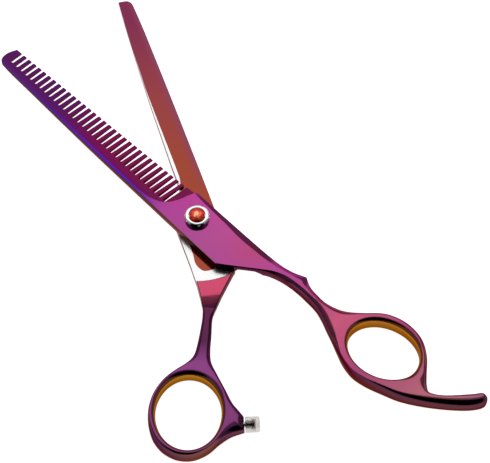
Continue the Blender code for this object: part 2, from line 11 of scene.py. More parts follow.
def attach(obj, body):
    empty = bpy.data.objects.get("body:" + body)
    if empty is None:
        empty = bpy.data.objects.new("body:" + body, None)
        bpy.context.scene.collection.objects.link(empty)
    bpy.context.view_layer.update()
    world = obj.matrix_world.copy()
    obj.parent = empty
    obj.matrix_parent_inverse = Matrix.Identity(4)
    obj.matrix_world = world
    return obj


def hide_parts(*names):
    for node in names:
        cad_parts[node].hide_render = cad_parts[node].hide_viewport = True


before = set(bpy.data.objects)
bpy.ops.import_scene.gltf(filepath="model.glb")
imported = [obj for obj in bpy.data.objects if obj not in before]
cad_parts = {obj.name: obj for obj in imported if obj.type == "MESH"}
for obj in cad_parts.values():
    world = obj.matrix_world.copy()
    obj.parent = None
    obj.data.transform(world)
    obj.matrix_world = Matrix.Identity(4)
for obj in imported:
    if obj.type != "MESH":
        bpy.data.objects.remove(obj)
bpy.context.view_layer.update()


# ---- Toothed half --------------------------------------------------------------------------------
# The finger half: blade, pivot block, shank, ring and finger rest, drop forged from one bar of
# cobalt steel. The scoop and the 33 slots are ground in, then all of it is mirror polished and
# vapour coated with titanium nitride, whose colour follows the coat's thickness.

MM = 0.001                 # the sizes below are in millimetres
HALF_HEIGHT = 3.0          # parting plane to the outer face
FACE_STEP = 0.15           # the flat inner face stands back from the parting plane
BLADE_TIP_HEIGHT = 1.2
TAPER_START = 18.0         # where the blade begins to thin towards its tip
FINGER_TURN = 12.15        # degrees that this half is swung open about the pivot
FULLEST_EDGE = 0.95        # most of the height that a rounded edge may take
HOLE_EDGE = 0.85           # share of the height taken by the rounding of a finger hole
FLARE_FOCUS = 16           # how closely a hole's flare keeps to its heading
FRONT_EDGE = 0.2           # edge step along the front of a raised shank
CREASE = 28                # degrees between faces that still shade as one
SNUG = 0.9998              # keeps the smoother outlines within the part's size
SPAN_STEPS = 8             # points between two stations of an outline
ROUND_LEVELS = 8           # levels in the rounding of an edge


def station(x, y, dx, dy, share=1.0, outer=HALF_HEIGHT, inner=HALF_HEIGHT, corner=False,
            mark=None):
    """One station of a forging's outline: the widest point, the step to the edge of the flat land,
    the share of the height that the edge takes, and the heights of the outer and inner lands.
    An edge that takes under half the height is a chamfer, and a full one is a quarter round."""
    roundness = min(1.0, max(0.0, 2.0 * share - 0.9))
    values = (x, y, dx, dy, min(share, FULLEST_EDGE), outer, inner, roundness)
    return {"values": values, "corner": corner, "mark": mark}


def stretch(share, *places, **lands):
    """Stations in a row that have the same edge and the same lands."""
    return [station(*place, share, **lands) for place in places]


def eased(before, start, end, after, t):
    """Cubic from start to end whose slopes follow the neighbouring stations."""
    span = math.dist(start[:2], end[:2])
    reach_start = span / max(math.dist(before[:2], start[:2]) + span, 1e-6)
    reach_end = span / max(math.dist(end[:2], after[:2]) + span, 1e-6)
    values = []
    for a, b, c, d in zip(before, start, end, after):
        rise, fall = (c - a) * reach_start, (d - b) * reach_end
        values.append((2 * t**3 - 3 * t**2 + 1) * b + (t**3 - 2 * t**2 + t) * rise
                      + (3 * t**2 - 2 * t**3) * c + (t**3 - t**2) * fall)
    values[5], values[6] = min(values[5], HALF_HEIGHT), min(values[6], HALF_HEIGHT)
    return values


def follow(stations, steps=SPAN_STEPS):
    """Points along a closed outline, smooth between its corners, and where each mark landed."""
    count = len(stations)
    points, landed = [], {}
    for i, here in enumerate(stations):
        start, end = here["values"], stations[(i + 1) % count]["values"]
        before = start if here["corner"] else stations[i - 1]["values"]
        after = end if stations[(i + 1) % count]["corner"] else stations[(i + 2) % count]["values"]
        if here["mark"]:
            landed[here["mark"]] = len(points)
        points += [eased(before, start, end, after, k / steps) for k in range(steps)]
    return points, landed


def oval(centre, length, width, lean, widen, inner, flare=0.0, flare_way=0.0, steps=112):
    """The finger hole's wall: an oval whose edge rolls over on to the ring's land, and flares wider
    towards one heading."""
    tilt = Matrix.Rotation(math.radians(lean), 2)
    points = []
    for k in range(steps):
        angle = 2 * math.pi * k / steps
        local = Vector((width / 2 * math.cos(angle), length / 2 * math.sin(angle)))
        out = Vector((math.cos(angle) / width, math.sin(angle) / length)).normalized()
        near_flare = max(0.0, math.cos(angle - math.radians(flare_way - lean))) ** FLARE_FOCUS
        place, step = tilt @ local + Vector(centre), tilt @ out * (widen + flare * near_flare)
        points.append((place.x, place.y, step.x, step.y, HOLE_EDGE, HALF_HEIGHT, inner, 1.0))
    return points


def edge_levels(points, inner_side):
    """Rims from the side wall up to the flat land, a quarter round or a straight chamfer."""
    rims = []
    for k in range(ROUND_LEVELS + 1):
        t = k / ROUND_LEVELS
        arc_in, arc_up = 1 - math.cos(t * math.pi / 2), math.sin(t * math.pi / 2)
        rim = []
        for x, y, dx, dy, share, outer, inner, roundness in points:
            inward = t + (arc_in - t) * roundness
            rise = t + (arc_up - t) * roundness
            floor, height = (0.0, inner) if inner_side else (FACE_STEP, outer)
            level = floor + (height - floor) * (1 - share + share * rise)
            rim.append((x + dx * inward, y + dy * inward, level))
        rims.append(rim)
    return rims


def laid(bm, points, height):
    """The points of an outline, set down at one height."""
    return [bm.verts.new((p[0], p[1], height)) for p in points]


def joined(bm, rim, closed=True):
    """The edges round a rim, made where they are missing."""
    pairs = list(zip(rim, rim[1:])) + ([(rim[-1], rim[0])] if closed else [])
    return [bm.edges.get(pair) or bm.edges.new(pair) for pair in pairs]


def lifted(bm, rim, points):
    """Extrudes a rim and sets the new one on the given points."""
    made = bmesh.ops.extrude_edge_only(bm, edges=joined(bm, rim))["geom"]
    fresh = {v for v in made if isinstance(v, bmesh.types.BMVert)}
    upper = []
    for below, point in zip(rim, points):
        above = next(e.other_vert(below) for e in below.link_edges if e.other_vert(below) in fresh)
        above.co = point
        upper.append(above)
    return upper


def capped(bm, *rims):
    """Fills the face inside the first rim and outside any others."""
    edges = [edge for rim in rims for edge in joined(bm, rim)]
    bmesh.ops.triangle_fill(bm, edges=edges, use_beauty=True)


def forged(stations, hole, front, outward, creases=()):
    """Solid of one half. The whole outline rises on the outer side, and only the handle, behind the
    front line across the shank, rises on the inner side too."""
    bm = bmesh.new()
    points, landed = follow(stations)
    start, end = landed["front left"], landed["front right"]
    base, hole_base = laid(bm, points, outward * FACE_STEP), laid(bm, hole, outward * FACE_STEP)

    rim, hole_rim = base, hole_base
    for level, hole_level in zip(edge_levels(points, False), edge_levels(hole, False)):
        rim = lifted(bm, rim, [(x, y, outward * z) for x, y, z in level])
        hole_rim = lifted(bm, hole_rim, [(x, y, outward * z) for x, y, z in hole_level])
    capped(bm, rim, hole_rim)

    front_base = laid(bm, front, outward * FACE_STEP)
    capped(bm, base[end:] + base[:start + 1] + front_base)
    handle = points[start:end + 1] + front[::-1]
    rim, hole_rim = base[start:end + 1] + front_base[::-1], hole_base
    for level, hole_level in zip(edge_levels(handle, True), edge_levels(hole, True)):
        rim = lifted(bm, rim, [(x, y, -outward * z) for x, y, z in level])
        hole_rim = lifted(bm, hole_rim, [(x, y, -outward * z) for x, y, z in hole_level])
    first, last = 0, len(rim)
    for name in creases:
        a, b = landed[name + " left"] - start, landed[name + " right"] - start
        capped(bm, rim[first:a + 1] + rim[b:last])
        first, last = a, b + 1
    capped(bm, rim[first:last], hole_rim)
    bmesh.ops.translate(bm, vec=(0.0, 0.0, HALF_HEIGHT), verts=bm.verts)
    return bm


def in_scene(name, data):
    """A new object of the scene that shows a mesh, a lamp or a camera."""
    made = bpy.data.objects.new(name, data)
    bpy.context.scene.collection.objects.link(made)
    return made


def solid(name, bm):
    """Turns a finished shape into an object, with its faces looking outward."""
    bmesh.ops.recalc_face_normals(bm, faces=bm.faces)
    mesh = bpy.data.meshes.new(name)
    bm.to_mesh(mesh)
    bm.free()
    return in_scene(name, mesh)


def ground(piece, cutters):
    """Cuts each cutter out of a piece and keeps the result as its mesh."""
    for cutter in cutters:
        modifier = piece.modifiers.new(cutter.name, "BOOLEAN")
        modifier.operation = "DIFFERENCE"
        modifier.solver = "EXACT"
        modifier.object = cutter
    done = piece.evaluated_get(bpy.context.evaluated_depsgraph_get())
    mesh = bpy.data.meshes.new_from_object(done)
    piece.modifiers.clear()
    piece.data = mesh
    for cutter in cutters:
        bpy.data.objects.remove(cutter)


def block_cutter(name, lower, upper):
    """Straight-sided cutter between two outlines that have as many points as each other."""
    bm = bmesh.new()
    rim = [bm.verts.new(point) for point in lower]
    capped(bm, rim)
    capped(bm, lifted(bm, rim, upper))
    return solid(name, bm)


def taper_cutter(name, side):
    """Wedge that thins a blade from its outer face to the tip, on the side given as 1 or -1."""
    near, tip = HALF_HEIGHT * (1 + side), HALF_HEIGHT + side * BLADE_TIP_HEIGHT
    away, past_tip, past_side = HALF_HEIGHT * (1 + 3 * side), 93.0, 20.0
    lower = [(-past_side, TAPER_START, near), (-past_side, past_tip, tip),
             (-past_side, past_tip, away), (-past_side, TAPER_START, away)]
    return block_cutter(name, lower, [(past_side, y, z) for _, y, z in lower])


def scoop_floor(x, y):
    """Height of the hollow-ground face, which falls from the spine to the teeth and the tip."""
    start, length = 8.0, 86.0
    spine_at_block, spine_at_tip = -6.4, -5.1
    along = min(1.0, max(0.0, (y - start) / length))
    at_block, at_tip = 2.62 - 0.165 * (x - spine_at_block), 1.14 - 0.04 * (x - spine_at_tip)
    return HALF_HEIGHT + at_block + (at_tip - at_block) * along


def ground_path(curve, beyond, steps=6):
    """Outline of a cut: a smooth curve across the work, closed by corners beyond it."""
    ends = (0, len(curve) - 1)
    rows = [station(x, y, 0, 0, corner=k in ends) for k, (x, y) in enumerate(curve)]
    rows += [station(x, y, 0, 0, corner=True) for x, y in beyond]
    return follow(rows, steps)[0]


def scoop_cutter():
    """Grinding wheel's path: a curved shoulder against the block, then a floor to the tip."""
    curve = [(-6.45, 21.5), (-6.1, 17.3), (-5.3, 14.4), (-3.9, 11.9), (-2.0, 10.3), (0.5, 9.2),
             (3.2, 8.4), (9.5, 6.4)]
    steps = 6
    wheel_reach, side_share = 2.5, 0.25   # how far the wheel's round runs along, and sideways
    top, wall_share = 2 * HALF_HEIGHT + 0.6, 0.75   # the round gives way to a wall near the top
    shoulder = steps * (len(curve) - 1)
    points = ground_path(curve, [(9.5, 95.0), (-5.3, 95.0)], steps)
    rims = []
    for t in [k / steps for k in range(steps + 1)]:
        sweep = wheel_reach * (1 - math.sin(t * math.pi / 2))
        rise = (1 - math.cos(t * math.pi / 2)) * (wall_share if t < 1 else 1)
        rim = []
        for k, point in enumerate(points):
            share = min(1.0, k / (3 * steps)) if k <= shoulder else 0.0
            x, y = point[0] + side_share * sweep * share, point[1] + sweep * share
            low = scoop_floor(x, y)
            rim.append((x, y, low + (top - low) * rise))
        rims.append(rim)
    bm = bmesh.new()
    first = rim = [bm.verts.new(point) for point in rims[0]]
    for level in rims[1:]:
        rim = lifted(bm, rim, level)
    capped(bm, rim)
    capped(bm, first)

    # The floor is cut into cells of a few millimetres, so that it can follow its gentle bend.
    floor = [f for f in bm.faces if all(v in set(first) for v in f.verts)]
    for axis, places in ((1, range(10, 95, 3)), (0, range(-6, 10, 2))):
        for place in places:
            touched = {g for f in floor if f.is_valid for g in (f, *f.edges, *f.verts)}
            at, way = [0.0] * 3, [0.0] * 3
            at[axis], way[axis] = place, 1.0
            bmesh.ops.bisect_plane(bm, geom=list(touched), plane_co=at, plane_no=way)
            floor = [f for f in bm.faces if abs(f.normal.z) > 0.7 and f.calc_center_median().z
                     < scoop_floor(*f.calc_center_median()[:2]) + 0.35]
    for vert in {v for f in floor for v in f.verts}:
        vert.co.z = scoop_floor(vert.co.x, vert.co.y)
    return solid("scoop", bm)


def slot_cutters():
    """The 33 slots, each milled with a round-ended root."""
    first, last, count, width, root = 12.7, 88.2, 33, 1.1, -3.2
    length, height, root_round = 14.0, 8.0, 0.42 * width
    bm = bmesh.new()
    for k in range(count):
        y = first + (last - first) * k / (count - 1)
        one = bmesh.ops.create_cube(bm, size=1.0)["verts"]
        bmesh.ops.scale(bm, vec=(length, width, height), verts=one)
        bmesh.ops.translate(bm, vec=(length / 2 + root, 0.0, HALF_HEIGHT + 2.0), verts=one)
        ends = {e for v in one for e in v.link_edges
                if all(abs(w.co.x - root) < 0.01 for w in e.verts) and
                abs(e.verts[0].co.z - e.verts[1].co.z) > 1.0}
        rounded = bmesh.ops.bevel(bm, geom=list(ends), offset=root_round, segments=4,
                                  profile=0.5, affect="EDGES", material=-1)["verts"]
        whole = [v for v in set(one) | set(rounded) if v.is_valid]
        bmesh.ops.translate(bm, vec=(0.0, y, 0.0), verts=whole)
    return solid("slots", bm)


def turned(bm, profile, steps=96):
    """Spins a profile of (radius, height) points all the way round the pivot axis."""
    verts = [bm.verts.new((radius, 0.0, height)) for radius, height in profile]
    edges = joined(bm, verts, closed=False)
    bmesh.ops.spin(bm, geom=verts + edges, cent=(0, 0, 0), axis=(0, 0, 1), dvec=(0, 0, 0),
                   angle=2 * math.pi, steps=steps, use_merge=True, use_duplicate=False)
    bmesh.ops.remove_doubles(bm, verts=bm.verts, dist=0.0005)


def bore_cutter(name, steps):
    """Stepped round cutter on the pivot axis, from (radius, low, high) steps."""
    profile = [(0.0, steps[0][1])]
    for radius, low, high in steps:
        profile += [(radius, low), (radius, high)]
    bm = bmesh.new()
    turned(bm, profile + [(0.0, steps[-1][2])], 72)
    return solid(name, bm)


def heel_cutter():
    """Hollow under the shank that passes over the plain half's raised shoulder."""
    near, far_low, far_high, steps = 21.9, 30.1, 26.5, 32
    low, high = HALF_HEIGHT - 1.0, HALF_HEIGHT + 1.4
    lower, upper = [], []
    for first, last, under, over in ((-130, -50, near, near), (-50, -130, far_low, far_high)):
        for k in range(steps + 1):
            angle = math.radians(first + (last - first) * k / steps)
            lower.append((under * math.cos(angle), under * math.sin(angle), low))
            upper.append((over * math.cos(angle), over * math.sin(angle), high))
    return block_cutter("heel relief", lower, upper)


def shank_front(radius, start, end, steps, share, height):
    """Front of a raised shank: an arc about the pivot, as outline points."""
    front = []
    for k in range(steps):
        angle = math.radians(start + (end - start) * k / (steps - 1))
        c, s = math.cos(angle), math.sin(angle)
        front.append((radius * c, radius * s, FRONT_EDGE * c, FRONT_EDGE * s, share, HALF_HEIGHT,
                      height, 0.0))
    return front


def placed(piece, turn):
    """Turns a half to its rest opening, scales it to metres, and shades it with crisp creases."""
    size = Matrix.Diagonal((MM * SNUG, MM * SNUG, MM, 1.0))
    piece.data.transform(Matrix.Rotation(math.radians(turn), 4, "Z") @ size)
    piece.data.shade_smooth()
    piece.data.set_sharp_from_angle(angle=math.radians(CREASE))
    piece.data.update()


def coat_and_painted_shade_reach(piece):
    """Stores how squarely each corner faced the coating vapour, that is how far it faces up: 1 on
    the flats, 0 on the walls. It places both the thin coat's wall colour and the walls' painted
    shade.
    """
    store = piece.data.attributes.new("coat_and_painted_shade_reach", "FLOAT", "CORNER")
    store.data.foreach_set("value", [abs(corner.vector.z) for corner in piece.data.corner_normals])


def marked(piece, name, test):
    """Stores a mark on each point, worked out from its place in millimetres."""
    store = piece.data.attributes.new(name, "FLOAT", "POINT")
    store.data.foreach_set("value", [float(test(*vertex.co)) for vertex in piece.data.vertices])


def in_hole(centre, length, width, lean):
    """Mark for the wall of a finger hole, fading out over its rounded edge."""
    untilt = Matrix.Rotation(-math.radians(lean), 2)
    fade_end, fade = 1.5, 0.4  # in squared radii, where the hole's own wall is 1

    def test(x, y, z):
        local = untilt @ (Vector((x, y)) - Vector(centre))
        reach = (2 * local.x / width) ** 2 + (2 * local.y / length) ** 2
        return min(1.0, max(0.0, (fade_end - reach) / fade))
    return test


EDGE = 0.08                # share of the height taken by a blade's broken edge
toothed_outline = [
    station(1.5, 91.0, -0.2, -0.2, EDGE, corner=True),
    *stretch(
        EDGE, (-1.8, 92.0, 0.0, -0.2), (-4.7, 91.5, 0.1, -0.2), (-5.8, 89.8, 0.2, -0.1),
        (-6.3, 75.0, 0.25, 0.0), (-6.9, 45.0, 0.25, 0.0), (-7.1, 16.0, 0.1, 0.0),
        (-7.15, 0.0, 0.1, 0.0)),
    station(-7.1, -16.6, 0.15, 0.1, EDGE, corner=True),
    station(-5.0, -19.6, 0.25, 0.2, EDGE),
    station(-0.2, -25.6, 0.25, 0.2, EDGE),
    station(2.0, -28.4, 0.3, 0.2, 0.1, inner=0.3, mark="front left"),
    station(3.9, -31.4, 0.6, 0.2, 0.3, inner=1.0),
    station(5.2, -35.0, 0.9, 0.1, 0.45, inner=2.1),
    station(5.8, -40.0, 1.1, 0.0, 0.65, inner=2.8),
    station(5.8, -45.0, 1.2, 0.0, 0.75),
    station(5.4, -49.5, 1.5, 0.0, 0.8),
    *stretch(
        0.85, (4.2, -53.5, 2.2, 0.1), (2.8, -57.0, 2.6, 0.4), (1.3, -61.0, 2.3, 0.6),
        (0.1, -64.0, 1.3, 0.4)),
    station(-1.2, -67.8, 0.4, 0.1, 0.8),
    station(-2.1, -72.0, 0.3, 0.0, 0.8),
    station(-2.2, -75.0, 0.4, 0.0, 0.85),
    station(-1.4, -79.5, 0.6, 0.1, 0.9),
    station(0.2, -84.6, 1.0, 0.4, 0.95),
    station(2.1, -89.6, 1.2, 0.6, 0.95),
    *stretch(
        1.0, (5.0, -94.6, 1.4, 1.0), (8.7, -99.6, 1.5, 1.3), (13.2, -104.7, 1.6, 1.6),
        (16.8, -107.9, 1.4, 1.8), (20.3, -109.6, 0.3, 1.9), (22.5, -108.6, -1.4, 1.2),
        (22.6, -106.6, -1.8, -0.5), (20.2, -104.7, -1.2, -1.4), (14.2, -99.9, -1.1, -1.2),
        (11.7, -97.2, -1.3, -0.9)),
    *stretch(
        0.9, (10.7, -95.0, -2.0, 0.6), (12.0, -92.6, -2.6, 1.5), (14.2, -90.3, -0.8, 1.1),
        (19.2, -85.4, -1.0, 1.0), (22.2, -80.4, -1.4, 0.7), (23.0, -75.2, -1.5, 0.0),
        (22.3, -70.3, -1.4, -0.5), (19.9, -65.4, -1.1, -0.9)),
    station(14.9, -60.3, -1.2, -1.1, 0.85),
    station(11.3, -55.6, -2.6, -1.4, 0.8),
    station(9.4, -50.4, -2.0, -0.5, 0.7),
    station(9.1, -45.5, -1.6, -0.2, 0.5),
    station(9.6, -42.5, -1.8, -0.5, 0.5),
    station(11.1, -39.3, -2.7, 0.0, 0.5, inner=2.8, corner=True),
    station(9.2, -35.0, -1.9, 0.3, 0.48, inner=2.1),
    station(8.2, -30.8, -1.9, 0.0, 0.46, inner=0.3, mark="front right"),
    station(7.7, -25.0, -2.3, 0.0, 0.46),
    station(7.4, -15.0, -2.7, 0.0, 0.45),
    station(7.1, -5.0, -1.8, 0.0, 0.36),
    station(6.9, 5.0, -1.3, 0.0, 0.3),
    station(6.8, 9.6, -0.7, 0.0, 0.2),
    station(6.3, 13.4, -0.2, 0.0, EDGE, corner=True),
    station(4.0, 50.0, -0.2, 0.0, EDGE, corner=True),
]
FINGER_HOLE = ((10.3, -75.0), 23.8, 18.6, 12.0)   # centre, length, width and lean
BLOCK_END = 5.0
ON_FACE = 0.02             # how near a face a point or a facet has to be to count as part of it
finger_hole = oval(*FINGER_HOLE, widen=1.35, inner=HALF_HEIGHT, flare=1.5, flare_way=-88.0)
finger_front = shank_front(29.6, -83.0, -77.5, steps=12, share=0.2, height=0.3)
toothed_half = solid("toothed_half", forged(toothed_outline, finger_hole, finger_front, 1.0))
ground(toothed_half, [
    taper_cutter("taper", 1), scoop_cutter(), slot_cutters(), heel_cutter(),
    bore_cutter("bore", [(3.9, 2.0, 4.05), (2.5, 4.05, 4.8), (3.5, 4.8, 7.0)]),
])
marked(toothed_half, "wheel_ground",
       lambda x, y, z: y > BLOCK_END and abs(z - scoop_floor(x, y)) < ON_FACE)
marked(toothed_half, "in_hole", in_hole(*FINGER_HOLE))
placed(toothed_half, FINGER_TURN)
coat_and_painted_shade_reach(toothed_half)


def linear(colour):
    """An sRGB hex colour as the linear values that a shader takes."""
    parts = [int(colour[k:k + 2], 16) / 255 for k in (1, 3, 5)]
    return (*[p / 12.92 if p <= 0.04045 else ((p + 0.055) / 1.055) ** 2.4 for p in parts], 1.0)


def plug(tree, node, inputs):
    """Gives a node's inputs as sockets to link or as values to set."""
    for name, value in inputs.items():
        if isinstance(value, bpy.types.NodeSocket):
            tree.links.new(value, node.inputs[name])
        else:
            node.inputs[name].default_value = value


def add_node(tree, kind, inputs=None, stops=None, **settings):
    """Adds one node with its settings, its inputs and, for a colour ramp, its stops."""
    made = tree.nodes.new(kind)
    for name, value in settings.items():
        setattr(made, name, value)
    plug(tree, made, inputs or {})
    if stops:
        ramp = made.color_ramp
        for place, _ in stops[2:]:
            ramp.elements.new(place)
        for stop, (place, colour) in zip(ramp.elements, stops):
            stop.position, stop.color = place, linear(colour)
    return made


def surface(name):
    """A new material: itself, its nodes, its shader, and where each point lies on the piece."""
    material = bpy.data.materials.new(name)
    material.use_nodes = True
    tree = material.node_tree
    place = add_node(tree, "ShaderNodeTexCoord")
    return material, tree, tree.nodes["Principled BSDF"], place.outputs["Object"]


A, B, MIXED = 6, 7, 2      # the colour sockets of a mix node: two inputs and its output
RGBA = {"data_type": "RGBA"}
SMOOTH = {"interpolation_type": "SMOOTHSTEP"}


def coated_steel(name, turn, along, spine, edge, ground_spine, ground_edge, left_wall,
                 right_wall, painted_dark_top_wall, rim, hole):
    """Vapour-coated mirror steel. The coat is thick on the flats and thin on the walls, which the
    eye sees as magenta turning to copper and gold. The wall tones are also partly painted shade,
    darkest towards the top, and partly painted reflection. Its colour drifts along the forging and
    across it, from the spine to the edge. It is deeper on wheel-ground faces, other again along one
    rim of the blade, and golden in the hole. A faint haze varies the mirror polish."""
    material, tree, steel, place = surface(name)
    where = add_node(tree, "ShaderNodeMapping", {
        "Vector": place, "Rotation": (0.0, 0.0, -math.radians(turn)),
        "Scale": (1 / MM,) * 3}).outputs["Vector"]
    x, y, z = add_node(tree, "ShaderNodeSeparateXYZ", {"Vector": where}).outputs

    # Along the forging, the bands of colour wander by a few millimetres in every fifteen.
    wander = 4.0
    drift = add_node(tree, "ShaderNodeTexNoise", {
        "Vector": where, "Scale": 0.07, "Detail": 2.0, "Roughness": 0.5})
    wandered = add_node(tree, "ShaderNodeMath", {
        0: drift.outputs["Fac"], 1: wander, 2: y}, operation="MULTIPLY_ADD")
    length = add_node(tree, "ShaderNodeMapRange", {
        "Value": wandered.outputs[0], "From Min": along[0] + wander / 2,
        "From Max": along[1] + wander / 2})
    tones = [
        add_node(tree, "ShaderNodeValToRGB", {"Fac": length.outputs["Result"]}, stops)
        .outputs["Color"]
        for stops in (spine, edge, ground_spine, ground_edge, left_wall, right_wall)]

    # Flats, from the spine to the edge.
    across = add_node(tree, "ShaderNodeMapRange", {
        "Value": x, "From Min": -6.5, "From Max": 4.0})
    ground_across = add_node(tree, "ShaderNodeMapRange", {
        "Value": x, "From Min": -6.6, "From Max": -4.0})
    ground_mark = add_node(tree, "ShaderNodeAttribute", attribute_name="wheel_ground")
    forged_tone = add_node(tree, "ShaderNodeMix", {
        "Factor": across.outputs["Result"], A: tones[0], B: tones[1]}, **RGBA)
    ground_tone = add_node(tree, "ShaderNodeMix", {
        "Factor": ground_across.outputs["Result"], A: tones[2], B: tones[3]}, **RGBA)
    face = add_node(tree, "ShaderNodeMix", {
        "Factor": ground_mark.outputs["Fac"], A: forged_tone.outputs[MIXED],
        B: ground_tone.outputs[MIXED]}, **RGBA)

    # The rim's tint, which starts beyond the block.
    near_rim = add_node(tree, "ShaderNodeMapRange", {
        "Value": x, "From Min": rim[0], "From Max": rim[1]}, **SMOOTH)
    on_blade = add_node(tree, "ShaderNodeMapRange", {
        "Value": y, "From Min": 8.0, "From Max": 26.0}, **SMOOTH)
    both = add_node(tree, "ShaderNodeMath", {
        0: near_rim.outputs["Result"], 1: on_blade.outputs["Result"]}, operation="MULTIPLY")
    rimmed = add_node(tree, "ShaderNodeMix", {
        "Factor": both.outputs[0], A: face.outputs[MIXED], B: linear(rim[2])}, **RGBA)

    # Walls: left and right of the spine's line, darker towards the top as painted shade, and the
    # hole's own. The left and right tones differ by painted reflection and painted shade.
    right_side = add_node(tree, "ShaderNodeMapRange", {
        "Value": x, "From Min": -6.0, "From Max": -5.0})
    outer_wall = add_node(tree, "ShaderNodeMix", {
        "Factor": right_side.outputs["Result"], A: tones[4], B: tones[5]}, **RGBA)
    upper = add_node(tree, "ShaderNodeMapRange", {
        "Value": z, "From Min": 1.2, "From Max": 5.2, "To Max": 0.85})
    wall_with_painted_shade = add_node(tree, "ShaderNodeMix", {
        "Factor": upper.outputs["Result"], A: outer_wall.outputs[MIXED],
        B: linear(painted_dark_top_wall)}, **RGBA)
    hole_mark = add_node(tree, "ShaderNodeAttribute", attribute_name="in_hole")
    wall = add_node(tree, "ShaderNodeMix", {
        "Factor": hole_mark.outputs["Fac"], A: wall_with_painted_shade.outputs[MIXED],
        B: linear(hole)}, **RGBA)

    # Thickness of the coat, from the walls to the flats, which also lays the walls' painted shade
    # on the corners that face sideways, and the haze, two millimetres across.
    reach = add_node(tree, "ShaderNodeAttribute", attribute_name="coat_and_painted_shade_reach")
    coat_thickness_and_painted_shade = add_node(tree, "ShaderNodeMapRange", {
        "Value": reach.outputs["Fac"], "From Min": 0.55, "From Max": 0.985})
    colour = add_node(tree, "ShaderNodeMix", {
        "Factor": coat_thickness_and_painted_shade.outputs["Result"], A: wall.outputs[MIXED],
        B: rimmed.outputs[MIXED]}, **RGBA)
    haze = add_node(tree, "ShaderNodeTexNoise", {"Vector": where, "Scale": 0.5, "Detail": 4.0})
    polish = add_node(tree, "ShaderNodeMapRange", {
        "Value": haze.outputs["Fac"], "To Min": 0.10, "To Max": 0.18})
    plug(tree, steel, {
        "Base Color": colour.outputs[MIXED], "Roughness": polish.outputs["Result"], "Metallic": 1.0,
        "Specular Tint": linear("#B8A4A0")})
    return material


# Magenta coat: the eye sees violet at the tip, magenta on the block and rose on the finger ring,
# with dark copper walls, dark partly from the thin coat and partly as painted shade.
ring_tones = [(0.0, "#804C6A"), (0.05, "#A05E67"), (0.17, "#8E3B65"), (0.26, "#AD4D6B"),
              (0.32, "#9B3F6F")]
ring_walls = [(0.0, "#6C3C34"), (0.15, "#6C3C34"), (0.3, "#643834")]
magenta_coat = coated_steel(
    "titanium nitride on polished steel, magenta", FINGER_TURN, (-110.0, 92.0),
    spine=ring_tones + [
        (0.4, "#993F81"), (0.5, "#95447D"), (0.6, "#943B83"), (0.66, "#4D1A8A"),
        (0.78, "#4D1A8A"), (0.87, "#3E1A70"), (1.0, "#472564")],
    edge=ring_tones + [
        (0.38, "#993F81"), (0.44, "#A0416D"), (0.5, "#A1447F"), (0.56, "#A23B81"),
        (1.0, "#5E1530")],
    ground_spine=[(0.6, "#591255"), (0.75, "#5F0F55"), (0.87, "#4B1966"), (1.0, "#472564")],
    ground_edge=[(0.6, "#65183F"), (0.75, "#681243"), (0.87, "#4B1554"), (1.0, "#4B1750")],
    # From the block to the tip, the light tan band of the left walls is a painted reflection; along
    # the blade, the dark right walls, slot walls among them, are painted shade.
    left_wall=ring_walls + [
        (0.42, "#5C3036"), (0.47, "#D0A488"), (0.6, "#A88470"), (1.0, "#806058")],
    right_wall=ring_walls + [
        (0.42, "#744048"), (0.58, "#744650"), (0.61, "#4E3024"), (1.0, "#5A3C38")],
    painted_dark_top_wall="#48223A", rim=(-5.9, -7.1, "#4420A0"), hole="#945E22")
toothed_half.data.materials.clear()
toothed_half.data.materials.append(magenta_coat)
toothed_half.modifiers.new("true flats", "WEIGHTED_NORMAL").keep_sharp = True
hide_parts("comb_blade")
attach(toothed_half, "finger_half")


# ---- Plain half ----------------------------------------------------------------------------------
# The thumb half, forged and coated the same way. Its inner face is hollow ground before coating;
# the ride round the pivot and the hone line along the edge are then honed back to bare steel.

THUMB_TURN = -12.15
SHOULDER = 1.1             # step up to the handle, which the other half's heel passes over
NECK = 1.7                 # inner heights of the shank's neck and of the thumb ring
RING = 2.7

